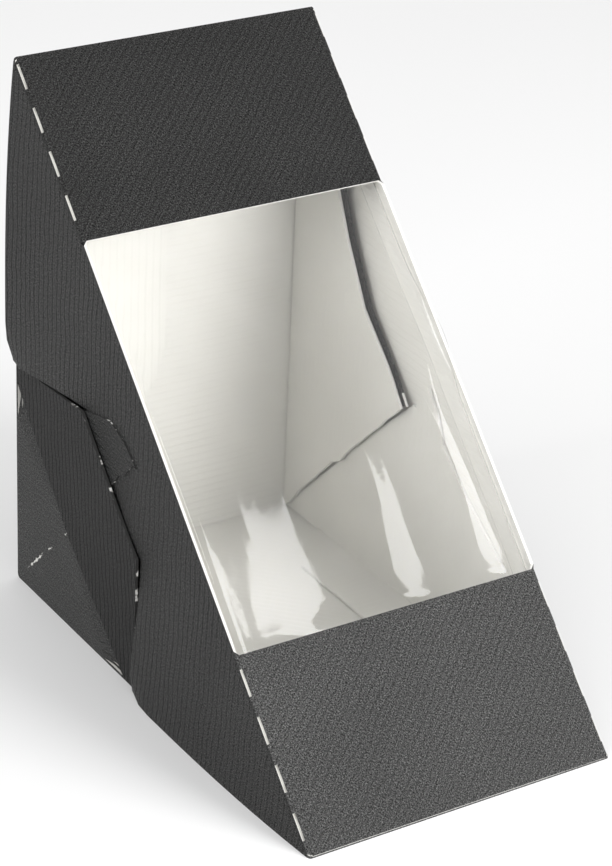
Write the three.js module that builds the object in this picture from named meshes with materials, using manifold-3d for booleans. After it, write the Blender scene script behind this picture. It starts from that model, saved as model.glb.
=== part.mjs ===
// Sandwich wedge pack: one folded and glued card blank with a clear film window on its slope.
// Millimetres, +Z up. The origin is on the table under the middle of the pack.
// The slope faces -Y, the back wall is at +Y, and the two triangular sides are at -X and +X.
import * as THREE from 'three';
import { mergeVertices } from 'three/addons/utils/BufferGeometryUtils.js';
import Module from 'manifold-3d';

const wasm = await Module();
wasm.setup();

// Driving dimensions of the pack
const WIDTH = 73;
const LEG = 124;
const BOARD = 0.6;
const FOLD_RADIUS = 0.9;
const PLY_SINK = 0.05;
const PLY_GAP = 0.15;

// The slope: a card strip at each end, with the window cut out between them
const BOTTOM_STRIP = 42.5;
const TOP_STRIP = 42.5;

// Cut dashes along the folds between the strips and the sides
const DASH_LENGTH = 5.7;
const DASH_PITCH = 10;
const DASH_COUNT = 4;
const DASH_WIDTH = 0.8;
const DASH_LIFT = 0.1;
const BOTTOM_DASH_START = 4;
const TOP_DASH_START = 2;

// How the sides bow outwards between the slope and the slits
const BOW = 2.7;
const BOW_POWER = 2.5;
const BOW_MIDDLE_SHARE = 0.22;
const BOW_PEAK = 62;
const PULLED_IN_SHARE = 0.25;

// The lock at each right-angled corner: distances along the back edge and the floor edge
const WEB_EDGE = 49.5;
const WEB_MIDDLE = 22.3;
const WEB_VALLEY = 1.2;
const SLIT_EDGE = 53;
const SLIT_WIDTH = 0.5;
const SLIT_END = [27.5, 56.4];
const CHAMFER_END = [33.6, 57.3];
const WEB_SHOULDER = [24, 53];
const TAB_SHOULDER = [43.4, 59.2];
const TAB_TIP = [54.4, 53.2];
const STRAP_RISE = 2.1;
const TAB_EASE = 8;
const TEAR_START = 40;
const TEAR_GAP = 0.2;
const TEAR_LAP = 0.6;

// Card flaps folded inside, on the sides, the back wall and the floor
const SIDE_FLAP_BEND = [30, 63.6];
const SIDE_FLAP_TIP = 47;
const SIDE_FLAP_TOP = 3;
const HEM_WIDTH = 2.3;
const LOWER_FLAP_SUM = 81;
const BACK_FLAP_BOTTOM = 13;
const BACK_FLAP_CORNER = 47;
const BACK_FLAP_RADIUS = 9;
const NARROW_FLAP = 15;
const FLAP_GAP = 0.4;
const TEAR_WAVE = 0.5;
const TEAR_COUNT = 5;

// The window film, glued under the strips and down the inside of both sides
const FILM = 0.25;
const FILM_CLEARANCE = 0.3;
const FILM_OVERLAP = 7;
const FILM_MARGIN = 5;
const FILM_BEND = 1.6;
const FILM_BOW = 1.4;
const FILM_STEPS = 22;

// How far an outline runs past the pack before it is trimmed, or into the ply that carries it
const SPARE = 2;
const SEAT = BOARD / 2;

// Fineness of the curved faces
const GRID_CELL = 5;
const OUTLINE_STEPS = 12;
const ARC_STEPS = 5;
const SMALLEST_EDGE = 0.005;

// Values worked out from the ones above
const HALF_WIDTH = WIDTH / 2;
const HALF_LEG = LEG / 2;
const SLOPE = LEG * Math.SQRT2;
const WINDOW = SLOPE - BOTTOM_STRIP - TOP_STRIP;
const REACH = HALF_WIDTH + BOW + STRAP_RISE;

// A geometry with only its places left, and each shared corner stored once
function welded(geometry) {
  const bare = geometry.clone();
  bare.deleteAttribute('normal');
  bare.deleteAttribute('uv');
  return mergeVertices(bare, 1e-4);
}

// Turns a closed three.js geometry into a solid for joining and cutting
function solid(geometry) {
  const merged = welded(geometry);
  const vertProperties = new Float32Array(merged.attributes.position.array);
  const triVerts = new Uint32Array(merged.index.array);
  return new wasm.Manifold(new wasm.Mesh({ numProp: 3, vertProperties, triVerts }));
}

// Turns a solid back into a three.js geometry
function geometryOf(body) {
  const mesh = body.getMesh();
  const geometry = new THREE.BufferGeometry();
  geometry.setAttribute('position', new THREE.BufferAttribute(new Float32Array(mesh.vertProperties), 3));
  geometry.setIndex(new THREE.BufferAttribute(new Uint32Array(mesh.triVerts), 1));
  geometry.computeVertexNormals();
  return geometry;
}

// The same geometry with every face turned to look the other way
function turnedOver(geometry) {
  const turned = welded(geometry);
  const index = turned.index;
  for (let i = 0; i < index.count; i += 3) {
    const second = index.getX(i + 1);
    index.setX(i + 1, index.getX(i + 2));
    index.setX(i + 2, second);
  }
  return turned;
}

// The same geometry on the other side of the pack, with its faces still pointing out
function mirrored(geometry) {
  return turnedOver(geometry.clone().applyMatrix4(new THREE.Matrix4().makeScale(-1, 1, 1)));
}

function shapeOf(points) {
  return new THREE.Shape(points.map(([u, v]) => new THREE.Vector2(u, v)));
}

// A prism whose outline is given as [y, z] points and which runs along X
function prismAlongX(points, lowX, highX) {
  const geometry = new THREE.ExtrudeGeometry(shapeOf(points), { depth: highX - lowX, bevelEnabled: false });
  const basis = new THREE.Matrix4().makeBasis(
    new THREE.Vector3(0, 1, 0),
    new THREE.Vector3(0, 0, 1),
    new THREE.Vector3(1, 0, 0),
  );
  return geometry.applyMatrix4(basis).translate(lowX, 0, 0);
}

// A point of a side, given by its distance from the back wall and its height, as [y, z]
function sidePoint([fromBack, height]) {
  return [HALF_LEG - fromBack, height];
}

function swapped([a, b]) {
  return [b, a];
}

// A point on the slope: its distance up the slope from the front fold, and out from the face
function slopePoint(up, out) {
  return [-HALF_LEG + (up - out) / Math.SQRT2, (up + out) / Math.SQRT2];
}

// How far out a side panel bows at a point of it
function panelBow(fromBack, height) {
  const sum = Math.max(fromBack + height, 1);
  const risen = Math.min(Math.max((LEG - sum) / (LEG - BOW_PEAK), 0), 1);
  const rise = 1 - (1 - risen) ** BOW_POWER;
  const lean = (fromBack - height) / sum;
  const across = BOW_MIDDLE_SHARE + (1 - BOW_MIDDLE_SHARE) * lean * lean;
  const pulled = Math.min(Math.max((sum - SLIT_EDGE) / (BOW_PEAK - SLIT_EDGE), 0), 1);
  return BOW * rise * across * (PULLED_IN_SHARE + (1 - PULLED_IN_SHARE) * pulled);
}

// How far out the strap lies: level with the fold at its ends, raised over the web in its middle
function strapRise(fromBack, height) {
  const sum = Math.max(fromBack + height, 1);
  const lean = (fromBack - height) / sum;
  const ridge = 2 * WEB_MIDDLE;
  const chamfer = CHAMFER_END[0] + CHAMFER_END[1];
  const along = Math.min(Math.max((sum - ridge) / (chamfer - ridge), 0), 1.1);
  const low = BOARD + PLY_GAP - WEB_VALLEY;
  return (1 - lean * lean) * (low + along * (STRAP_RISE - low));
}

// How far out the corner web lies: two facets that meet in a valley, then on under the strap
function webRise(fromBack, height) {
  const facet = -WEB_VALLEY * Math.min(fromBack, height) / WEB_MIDDLE;
  if (fromBack + height < 2 * WEB_MIDDLE) {
    return facet;
  }
  return Math.max(strapRise(fromBack, height) - BOARD - PLY_GAP, -WEB_VALLEY);
}

// How far a place on the web is through the chamfer's slit: 0 before it and 1 past it
function pastChamfer(fromBack, height) {
  const chamfer = CHAMFER_END[0] + CHAMFER_END[1];
  return Math.min(Math.max((fromBack + height - chamfer) / TAB_EASE + 0.5, 0), 1);
}

// The upper half of the lock tab comes out over the panel, and the lower half stays under it
function upperTabRise(fromBack, height) {
  const tab = panelBow(fromBack, height) + BOARD + PLY_GAP;
  return THREE.MathUtils.lerp(webRise(fromBack, height), tab, pastChamfer(fromBack, height));
}

function lowerTabRise(fromBack, height) {
  const tab = panelBow(fromBack, height) - BOARD - PLY_GAP;
  return THREE.MathUtils.lerp(webRise(fromBack, height) - PLY_SINK, tab, pastChamfer(fromBack, height));
}

// One sheet of card on the -X side: an outline on the side, given the rise of its outer face.
// Its grid runs along the bisector of the right angle and across it.
function sideSheet(outline, rise) {
  const cells = Math.ceil(SLOPE / 2 / GRID_CELL) + 1;
  const size = cells * GRID_CELL;
  const slab = new THREE.BoxGeometry(size, 2 * size, BOARD, cells, cells, 1);
  const position = slab.attributes.position;
  for (let i = 0; i < position.count; i += 1) {
    const along = position.getX(i) + size / 2 - GRID_CELL / 2;
    const across = position.getY(i);
    const fromBack = (along - across) / Math.SQRT2;
    const height = (along + across) / Math.SQRT2;
    const depth = BOARD / 2 - position.getZ(i);
    const out = rise(Math.max(fromBack, 0), Math.max(height, 0));
    position.setXYZ(i, -HALF_WIDTH - out + depth, HALF_LEG - fromBack, height);
  }
  const cutter = prismAlongX(outline.map(sidePoint), -REACH - 1, 0);
  return solid(slab).intersect(solid(cutter));
}

// A flat ply parallel to the side, whose outer face is the given distance inside the side's face
function flatSidePly(outline, inset) {
  return solid(prismAlongX(outline.map(sidePoint), -HALF_WIDTH + inset, -HALF_WIDTH + inset + BOARD));
}

// The wavy edge that a torn perforation leaves along the bisector, from one place on it to another
function tornEdge(start, end) {
  const count = TEAR_COUNT * 2;
  return Array.from({ length: count - 1 }, (unused, i) => {
    const place = start + (end - start) * (i + 1) / count;
    const off = TEAR_WAVE * (i % 2 === 0 ? 1 : -1);
    return [place - off, place + off];
  });
}

// Front, back and floor: one loop of card, left oversize outside until it is trimmed
function wrapSolid() {
  const outer = [
    [-HALF_LEG - 3 * SPARE, -SPARE],
    [HALF_LEG + SPARE, -SPARE],
    [HALF_LEG + SPARE, LEG + 3 * SPARE],
  ];
  const slopeInset = BOARD * (1 + Math.SQRT2);
  const inner = [
    [slopeInset - HALF_LEG, BOARD],
    [HALF_LEG - BOARD, BOARD],
    [HALF_LEG - BOARD, LEG - slopeInset],
  ];
  const shell = solid(prismAlongX(outer, SEAT - HALF_WIDTH, HALF_WIDTH - SEAT));
  const hollow = solid(prismAlongX(inner, -HALF_WIDTH - 1, HALF_WIDTH + 1));
  return shell.subtract(hollow);
}

// The outside of the pack seen from the side, with its three folds rounded
function envelope() {
  const corners = [[-HALF_LEG, 0], [HALF_LEG, 0], [HALF_LEG, LEG]];
  const outline = corners.flatMap((corner, i) => {
    const after = corners[(i + 1) % corners.length];
    return roundedCorner(corners.at(i - 1), corner, after);
  });
  return solid(prismAlongX(outline, -REACH - 1, REACH + 1));
}

function roundedCorner(before, corner, after) {
  const point = new THREE.Vector2(...corner);
  const toBefore = new THREE.Vector2(...before).sub(point).normalize();
  const toAfter = new THREE.Vector2(...after).sub(point).normalize();
  const start = point.clone().addScaledVector(toBefore, FOLD_RADIUS);
  const end = point.clone().addScaledVector(toAfter, FOLD_RADIUS);
  const curve = new THREE.QuadraticBezierCurve(start, point, end);
  return curve.getPoints(ARC_STEPS - 2).map((p) => [p.x, p.y]);
}

// The outer panel of a side, with its corner cut away along the slits and the chamfer
function outerPanel() {
  const slitUpper = [
    [0, SLIT_EDGE + SLIT_WIDTH],
    [SLIT_END[0], SLIT_END[1] + SLIT_WIDTH],
    [CHAMFER_END[0] + SLIT_WIDTH, CHAMFER_END[1] + SLIT_WIDTH],
  ];
  const slitLower = slitUpper.map(swapped).reverse();
  const corners = [[-SPARE, slitUpper[0][1]], ...slitUpper, ...slitLower, [slitUpper[0][1], -SPARE]];
  return sideSheet([[-SPARE, LEG + 2 * SPARE], ...corners, [LEG + 2 * SPARE, -SPARE]], panelBow);
}

// The strap that crosses over the web, held at the back fold and the floor fold
function strap() {
  const cut = [[-SPARE, SLIT_EDGE], [0, SLIT_EDGE], SLIT_END, CHAMFER_END];
  const ridge = [[WEB_MIDDLE, WEB_MIDDLE], [0, WEB_EDGE], [-SPARE, WEB_EDGE]];
  const upper = [...ridge.slice(1), ...cut];
  return sideSheet([ridge[0], ...upper, ...upper.map(swapped).reverse()], strapRise);
}

// Half of the corner web, above the bisector. Its tab is torn from the other half past the strap.
function webHalfOutline(tearStart) {
  return [
    [-SPARE + TEAR_LAP, -SPARE - TEAR_LAP],
    [-SPARE, WEB_EDGE],
    [0, WEB_EDGE],
    WEB_SHOULDER,
    CHAMFER_END,
    TAB_SHOULDER,
    TAB_TIP,
    [TAB_TIP[1] - TEAR_GAP, TAB_TIP[1] + TEAR_GAP],
    [tearStart - TEAR_GAP, tearStart + TEAR_GAP],
    [tearStart + TEAR_LAP, tearStart - TEAR_LAP],
  ];
}

// The flap folded in from the back wall, with a hem of the ply behind it showing along its edge
function upperSideFlap(hem, inset) {
  const edge = [
    [SEAT, LEG - SIDE_FLAP_TOP],
    [SIDE_FLAP_BEND[0] + hem, SIDE_FLAP_BEND[1] + hem / 3],
    [SIDE_FLAP_TIP + hem / 2, SIDE_FLAP_TIP + hem / 2],
  ];
  return flatSidePly([...edge, ...tornEdge(SIDE_FLAP_TIP, SEAT), [SEAT, SEAT]], inset);
}

// The flap folded in from the floor, under the torn edge of the flap above it
function lowerSideFlap(inset) {
  const bend = swapped(SIDE_FLAP_BEND);
  const narrowing = (bend[0] + bend[1] - LOWER_FLAP_SUM) / 2;
  const middle = LOWER_FLAP_SUM / 2;
  const foot = [[SEAT, SEAT], [middle, middle]];
  const edge = [[bend[0] - narrowing, bend[1] - narrowing], [LEG - SIDE_FLAP_TOP, SEAT]];
  return flatSidePly([...foot, ...edge], inset);
}

// The outline of a flap's bowed fold, as distances from the middle of the pack along the fold
function bowedEdge(bowAt) {
  return Array.from({ length: OUTLINE_STEPS + 1 }, (unused, i) => {
    const place = SLIT_EDGE + (LEG - SLIT_EDGE) * i / OUTLINE_STEPS;
    return [SEAT - HALF_WIDTH - bowAt(place), place];
  });
}

// The glue flap of a side, on the inside of the back wall: half the width, or narrow
function backFlap(reach, rounded) {
  const inner = -HALF_WIDTH + reach;
  const start = new THREE.Vector2(inner, BACK_FLAP_CORNER + BACK_FLAP_RADIUS / 2);
  const corner = new THREE.Vector2(inner, BACK_FLAP_CORNER - BACK_FLAP_RADIUS / 2);
  const end = new THREE.Vector2(inner - BACK_FLAP_RADIUS, BACK_FLAP_CORNER - BACK_FLAP_RADIUS * 1.5);
  const arc = new THREE.QuadraticBezierCurve(start, corner, end).getPoints(ARC_STEPS).map((p) => [p.x, p.y]);
  const lower = rounded ? [...arc] : [[inner, BACK_FLAP_BOTTOM + reach]];
  const bowed = bowedEdge((height) => panelBow(0, height));
  const outline = [[SEAT - HALF_WIDTH, BACK_FLAP_BOTTOM], ...bowed, [inner, LEG], ...lower];
  const flat = new THREE.ExtrudeGeometry(shapeOf(outline), { depth: BOARD, bevelEnabled: false });
  flat.rotateX(Math.PI / 2);
  return solid(flat.translate(0, HALF_LEG - BOARD + PLY_SINK, 0));
}

// The glue flap of a side, on the inside of the floor
function floorFlap() {
  const inner = -HALF_WIDTH + NARROW_FLAP;
  const bowed = bowedEdge((fromBack) => panelBow(fromBack, 0));
  const corner = [SEAT - HALF_WIDTH, BACK_FLAP_BOTTOM];
  const outline = [corner, ...bowed, [inner, LEG], [inner, BACK_FLAP_BOTTOM + NARROW_FLAP]];
  const points = outline.map(([x, fromBack]) => [x, HALF_LEG - fromBack]);
  const flat = new THREE.ExtrudeGeometry(shapeOf(points), { depth: BOARD, bevelEnabled: false });
  return solid(flat.translate(0, 0, BOARD - PLY_SINK));
}

// Everything on one side, modelled at -X
function sideSolid() {
  const flapInset = BOARD + WEB_VALLEY - PLY_SINK;
  const hemInset = flapInset - BOARD + PLY_SINK;
  return [
    strap(),
    sideSheet(webHalfOutline(TEAR_START), upperTabRise),
    sideSheet(webHalfOutline(TEAR_START - TEAR_LAP).map(swapped), lowerTabRise),
    upperSideFlap(0, flapInset),
    upperSideFlap(HEM_WIDTH, hemInset),
    lowerSideFlap(hemInset + PLY_SINK),
    floorFlap(),
  ].reduce((joined, sheet) => joined.add(sheet), outerPanel());
}

// Short cuts along the folds between the strips and the sides, seen as nicks in the edge
function dashes(side) {
  const starts = [];
  for (let i = 0; i < DASH_COUNT; i += 1) {
    starts.push(BOTTOM_DASH_START + i * DASH_PITCH);
    starts.push(SLOPE - TOP_DASH_START - DASH_LENGTH - i * DASH_PITCH);
  }
  return starts.map((start) => {
    const bar = new THREE.BoxGeometry(DASH_WIDTH, DASH_LENGTH, DASH_WIDTH).rotateY(Math.PI / 4);
    bar.rotateX(Math.PI / 4);
    const [y, z] = slopePoint(start + DASH_LENGTH / 2, DASH_LIFT);
    return solid(bar.translate(side * (HALF_WIDTH + DASH_LIFT), y, z));
  });
}

function cartonGeometry() {
  const left = sideSolid().add(backFlap(HALF_WIDTH - FLAP_GAP, true));
  const right = solid(mirrored(geometryOf(sideSolid().add(backFlap(NARROW_FLAP, false)))));
  const windowCorners = [
    slopePoint(BOTTOM_STRIP, SPARE),
    slopePoint(BOTTOM_STRIP + WINDOW, SPARE),
    slopePoint(BOTTOM_STRIP + WINDOW, -SPARE),
    slopePoint(BOTTOM_STRIP, -SPARE),
  ];
  const windowCut = solid(prismAlongX(windowCorners, -REACH, REACH));
  let card = wrapSolid().subtract(windowCut).add(left).add(right).intersect(envelope());
  for (const dash of [...dashes(-1), ...dashes(1)]) {
    card = card.subtract(dash);
  }
  return geometryOf(card.simplify(SMALLEST_EDGE));
}

// How far the film stands out between the strips, most of it in the middle of the window
function filmBow(up, x) {
  const along = Math.min(Math.max((up - BOTTOM_STRIP) / WINDOW, 0), 1);
  const flatness = 1 - (x / HALF_WIDTH) ** 4;
  return FILM_BOW * Math.sin(Math.PI * along) ** 2 * (0.5 + flatness / 2);
}

// The film: across the window, round a soft bend at each side and down the inside of the card
function filmGeometry() {
  const half = HALF_WIDTH - BOARD - FILM_CLEARANCE;
  const top = -BOARD - FILM_CLEARANCE;
  const foot = top - FILM_BEND - FILM_MARGIN;
  const bend = (inset, from) => {
    const centre = [half - FILM_BEND, top - FILM_BEND];
    return Array.from({ length: ARC_STEPS + 1 }, (unused, i) => {
      const angle = from === 'side' ? (Math.PI / 2) * i / ARC_STEPS : (Math.PI / 2) * (1 - i / ARC_STEPS);
      const radius = FILM_BEND - inset;
      return [centre[0] + radius * Math.cos(angle), centre[1] + radius * Math.sin(angle)];
    });
  };
  const outer = [[half, foot], ...bend(0, 'side')];
  const inner = [...bend(FILM, 'top'), [half - FILM, foot]];
  const flip = ([x, y]) => [-x, y];
  const outline = [...outer, ...outer.map(flip).reverse(), ...inner.map(flip).reverse(), ...inner];
  const length = WINDOW + 2 * FILM_OVERLAP;
  const options = { depth: length, steps: FILM_STEPS, bevelEnabled: false };
  const geometry = new THREE.ExtrudeGeometry(shapeOf(outline), options);
  const position = geometry.attributes.position;
  for (let i = 0; i < position.count; i += 1) {
    const up = BOTTOM_STRIP - FILM_OVERLAP + position.getZ(i);
    const x = position.getX(i);
    const [y, z] = slopePoint(up, position.getY(i) + filmBow(up, x));
    position.setXYZ(i, x, y, z);
  }
  return turnedOver(geometry);
}

const black = new THREE.MeshStandardMaterial({ color: 0x2b2b2b, roughness: 0.8, metalness: 0 });
const clear = new THREE.MeshStandardMaterial({ color: 0xf4f4f2, roughness: 0.08, metalness: 0 });

const pack = new THREE.Group();

const carton = new THREE.Mesh(cartonGeometry(), black);
carton.name = 'carton';
pack.add(carton);

const film = new THREE.Mesh(filmGeometry(), clear);
film.name = 'window_film';
pack.add(film);

export default pack;
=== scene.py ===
import math

import bpy
from bpy.props import FloatProperty, FloatVectorProperty, IntProperty, PointerProperty
from mathutils import Euler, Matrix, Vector, noise


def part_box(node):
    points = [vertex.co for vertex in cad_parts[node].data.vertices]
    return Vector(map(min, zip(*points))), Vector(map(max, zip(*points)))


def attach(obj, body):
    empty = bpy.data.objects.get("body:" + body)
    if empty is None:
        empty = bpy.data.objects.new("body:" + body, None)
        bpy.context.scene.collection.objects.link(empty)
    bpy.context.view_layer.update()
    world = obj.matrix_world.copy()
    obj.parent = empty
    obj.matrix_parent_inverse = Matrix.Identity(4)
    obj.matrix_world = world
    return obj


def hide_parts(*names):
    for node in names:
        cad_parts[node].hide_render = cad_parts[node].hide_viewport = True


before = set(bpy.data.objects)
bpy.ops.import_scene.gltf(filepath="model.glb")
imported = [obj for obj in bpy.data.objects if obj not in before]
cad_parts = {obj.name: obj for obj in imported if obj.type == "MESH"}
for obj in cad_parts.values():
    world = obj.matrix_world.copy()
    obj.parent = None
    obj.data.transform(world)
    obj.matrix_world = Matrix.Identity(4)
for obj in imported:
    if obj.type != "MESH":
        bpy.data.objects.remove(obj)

bl_info = {
    "name": "Sandwich Wedge Pack",
    "version": (1, 0, 0),
    "blender": (4, 5, 0),
    "location": "View3D > Sidebar > Wedge Pack",
    "description": "Builds a folded black card sandwich pack with a clear film window",
    "category": "Add Mesh",
}

MM = 0.001
ROOT_TWO = math.sqrt(2)

# The pack's own sizes, in millimetres, as its construction has them
WIDTH = 73
LEG = 124
BOTTOM_STRIP = 42.5
TOP_STRIP = 42.5
SLOPE = LEG * ROOT_TWO
WINDOW_TOP = SLOPE - TOP_STRIP

# The bow of the sides: how steeply it starts, its share in the middle, where it is highest as
# depth and height added up, and the share that is left where the slits pull it in
BOW_POWER = 2.5
BOW_MIDDLE_SHARE = 0.22
BOW_PEAK = 62
PULLED_IN_SHARE = 0.25

# The corner lock: places on a side as distance from the back wall and height
WEB_EDGE = 49.5
WEB_MIDDLE = 22.3
WEB_VALLEY = 1.2
SLIT_EDGE = 53
SLIT_WIDTH = 0.5
SLIT_MOUTH = 1.3
SLIT_END = (27.5, 56.4)
CHAMFER_END = (33.6, 57.3)
CHAMFER = CHAMFER_END[0] + CHAMFER_END[1]
WEB_SHOULDER = (24, 53)
TAB_SHOULDER = (43.4, 59.2)
TAB_BROW = (49.2, 57.0)
TAB_TIP = (54.4, 53.2)
TAB_EASE = 8
TAB_ROOT = 30
TEAR_START = 40
STRAP_RISE = 2.1
TAB_LIFT = 0.3
TAB_BULGE = 0.75
TAB_BULGE_MIDDLE = (52, 40)
TAB_BULGE_REACH = (9, 8)
PLY_GAP = 0.15

# The steps of the torn tab's edge, back from its tip
TEAR_STEPS = ((3.2, 3.9), (5.5, 4.9), (7.4, 7.9))

# Depth and height, added up, that all cut edges of the lock stay under
LOCK_REACH = 112

# The flaps that are folded inside
FLAP_MARGIN = 0.7
FLAP_END_GAP = 4
SIDE_FLAP_BROW = ((17.2, 88.2), (22.2, 77.2))
SIDE_FLAP_BEND = (30, 63.6)
SIDE_FLAP_CHIN = (39.6, 54.6)
SIDE_FLAP_TIP = 47
LOWER_FLAP_TIP = 47.5
LOWER_FLAP_BROW = (56, 45.5)
LOWER_FLAP_EXTRA = 5.2

# The black hem of the inner flap, and how deep inside the side plane its cut edge lies
HEM_WIDTH = 0.8
HEM_DEPTHS = (1.0, 1.9)

# Where the lower flap starts to hug the panel, as depth and height added up, and over what length
HUG_START = 75
HUG_LENGTH = 22

# The glue flaps on the back wall and the floor
BACK_FLAP_BOTTOM = 13
BACK_FLAP_CORNER = 47
BACK_FLAP_RADIUS = 9
BACK_FLAP_EDGE = 0.3
BACK_FLAP_SEAM = 1.6
NARROW_FLAP = 15
GLUE_FLAP_END_GAP = 2.2
FLAP_GAP = 0.4
CURVE_STEPS = 8
FOLD_STEPS = 24

# The torn lower edge of the inner flap
TEAR_COUNT = 9
TEAR_WAVE = 1.21
TEAR_LIFT = 0.55
TEAR_LIFT_REACH = 5

# The cut dashes along the side folds of the strips
DASH_LENGTH = 5.7
DASH_PITCH = 10
DASH_COUNT = 4
BOTTOM_DASH_START = 4
TOP_DASH_START = 2

# How much painted shade darkens a ply's printed face, or below zero how much painted light lightens it:
# shade on the strap, light on the webs and a sheen on the bottom strip
STRAP_PAINTED_SHADE = 1
WEB_PAINTED_LIGHT = -0.6
BOTTOM_STRIP_PAINTED_SHEEN = -2.6

# The window film: its gaps to the card, its uneven patch, and its swelling at the right edge
FILM_SIDE_GAP = 0.35
FILM_CARD_GAP = 0.2
PEEL_MIDDLE = (-17, 78)
PEEL_REACH = (6, 8)
SWELL_MIDDLE = (33, 97)
SWELL_REACH = (5, 11)

# Where the photograph was taken from, and how long its lens is
CAMERA_PLACE = (-293.2, -445.3, 331.8)
CAMERA_TURN = (62.623, -2.224, -32.102)
LENS = 120.6
SENSOR = 36

BLACK, WHITE, EDGE, INKED = range(4)


class WedgeCard(bpy.types.PropertyGroup):
    """Sizes and colours of the folded card."""

    board: FloatProperty(
        name="Board", description="Thickness of the micro-flute card",
        default=0.6 * MM, min=0.2 * MM, unit="LENGTH")
    bow: FloatProperty(
        name="Side bow", description="How far the sides bow outwards near the slits",
        default=2.55 * MM, unit="LENGTH")
    fold: FloatProperty(
        name="Fold", description="How far from its crease a fold starts to turn",
        default=0.95 * MM, unit="LENGTH")
    spacing: FloatProperty(
        name="Grid", description="Distance between the grid lines of a bowed panel",
        default=3.2 * MM, unit="LENGTH")
    pitch: FloatProperty(
        name="Flute pitch", description="Distance from one flute of the card to the next",
        default=1.8 * MM, unit="LENGTH")
    black: FloatVectorProperty(
        name="Outside", description="Colour of the printed outside",
        default=(0.0075, 0.0075, 0.0073), subtype="COLOR", size=3)
    white: FloatVectorProperty(
        name="Inside", description="Colour of the unprinted inside",
        default=(0.745, 0.736, 0.698), subtype="COLOR", size=3)
    edge: FloatVectorProperty(
        name="Cut edge", description="Colour of the card's bare cut edges",
        default=(0.83, 0.82, 0.79), subtype="COLOR", size=3)


class WedgeFilm(bpy.types.PropertyGroup):
    """Sizes of the window film."""

    thickness: FloatProperty(
        name="Film", description="Thickness of the window film", default=0.12 * MM, unit="LENGTH")
    overlap: FloatProperty(
        name="Overlap", description="How far the film runs under the strips",
        default=6.5 * MM, unit="LENGTH")
    margin: FloatProperty(
        name="Side margin", description="How far the film runs down inside the sides",
        default=5 * MM, unit="LENGTH")
    bend: FloatProperty(
        name="Side bend", description="Radius of the film's bend along the sides",
        default=1.6 * MM, unit="LENGTH")
    bow: FloatProperty(
        name="Film bow", description="How far the film stands out in the middle of the window",
        default=1.0 * MM, unit="LENGTH")
    columns: IntProperty(name="Columns", description="Grid cells across the film", default=130, min=20)
    rows: IntProperty(name="Rows", description="Grid cells up the film", default=110, min=20)


class WedgeStage(bpy.types.PropertyGroup):
    """Floor and lights."""

    floor: FloatVectorProperty(
        name="Floor", description="Colour of the floor", default=(0.96, 0.96, 0.96),
        subtype="COLOR", size=3)
    ambient: FloatProperty(
        name="Room light", description="Strength of the light from all round", default=0.77)
    key: FloatProperty(
        name="Key light", description="Power of the light that the film mirrors", default=0.9, unit="POWER")


# Places on the pack

def half_width():
    return WIDTH * MM / 2


def board_mm():
    return bpy.context.scene.wedge_card.board / MM


def on_side(side, place):
    """A place on the flat side plane, from its distance from the back wall and its height in mm."""
    return Vector((side * half_width(), (LEG / 2 - place[0]) * MM, place[1] * MM))


def on_slope(x, up, out=0.0):
    """A place by the slope: across, up the slope from the front fold, and out from the face, in mm."""
    return Vector((x, -LEG / 2 + (up - out) / ROOT_TWO, (up + out) / ROOT_TWO)) * MM


def swapped(places):
    return [(b, a) for a, b in places]


def side_place(point):
    """The distance from the back wall and the height of a point, in mm."""
    return max(LEG / 2 - point.y / MM, 0), max(point.z / MM, 0)


# How far each card layer of a side stands out from the flat side plane, in mm

def clamp(value, low=0.0, high=1.0):
    return min(max(value, low), high)


def lean_of(back, height):
    total = max(back + height, 1)
    return (back - height) / total


def hump(place, middle, reach):
    """A soft round hump of height 1 on a face."""
    return math.exp(-sum(((a - b) / c) ** 2 for a, b, c in zip(place, middle, reach)))


def tab_bulge(back, height):
    """The panel is pushed out where the lower half of the tab lies under it."""
    return TAB_BULGE * hump((back, height), TAB_BULGE_MIDDLE, TAB_BULGE_REACH)


def panel_rise(back, height):
    total = max(back + height, 1)
    rise = 1 - (1 - clamp((LEG - total) / (LEG - BOW_PEAK))) ** BOW_POWER
    lean = lean_of(back, height)
    across = BOW_MIDDLE_SHARE + (1 - BOW_MIDDLE_SHARE) * lean * lean
    pulled = clamp((total - SLIT_EDGE) / (BOW_PEAK - SLIT_EDGE))
    pulled = pulled * pulled * (3 - 2 * pulled)
    bow = bpy.context.scene.wedge_card.bow / MM
    shape = bow * rise * across * (PULLED_IN_SHARE + (1 - PULLED_IN_SHARE) * pulled)
    return shape + tab_bulge(back, height) * clamp(rise * 4)


def strap_rise(back, height):
    board = board_mm()
    ridge = 2 * WEB_MIDDLE
    along = clamp((back + height - ridge) / (CHAMFER - ridge), 0, 1.1)
    low = board + PLY_GAP - WEB_VALLEY
    return (1 - lean_of(back, height) ** 2) * (low + along * (STRAP_RISE - low))


def web_rise(back, height):
    board = board_mm()
    facet = -WEB_VALLEY * min(back, height) / WEB_MIDDLE
    if back + height < 2 * WEB_MIDDLE:
        return facet
    return max(strap_rise(back, height) - board - PLY_GAP, -WEB_VALLEY)


def tab_rise(back, height, layer):
    """The torn tab: its upper half lies over the panel and its lower half under it."""
    board = board_mm()
    past = clamp((back + height - CHAMFER) / TAB_EASE + 0.5)
    tab = panel_rise(back, height) + (TAB_LIFT if layer > 0 else -board - PLY_GAP)
    return web_rise(back, height) * (1 - past) + tab * past


# Small steps of modelling

def only(piece):
    """Selects one object and nothing else."""
    bpy.ops.object.select_all(action="DESELECT")
    piece.select_set(True)
    bpy.context.view_layer.objects.active = piece


def choose(piece, kind, test):
    """Selects the edges or faces that pass a test, and goes into edit mode."""
    modes = {"edges": (False, True, False), "polygons": (False, False, True)}
    bpy.context.tool_settings.mesh_select_mode = modes[kind]
    mesh = piece.data
    for group in (mesh.vertices, mesh.edges, mesh.polygons):
        group.foreach_set("select", [False] * len(group))
    for item in getattr(mesh, kind):
        item.select = bool(test(item))
    bpy.ops.object.mode_set(mode="EDIT")


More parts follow.
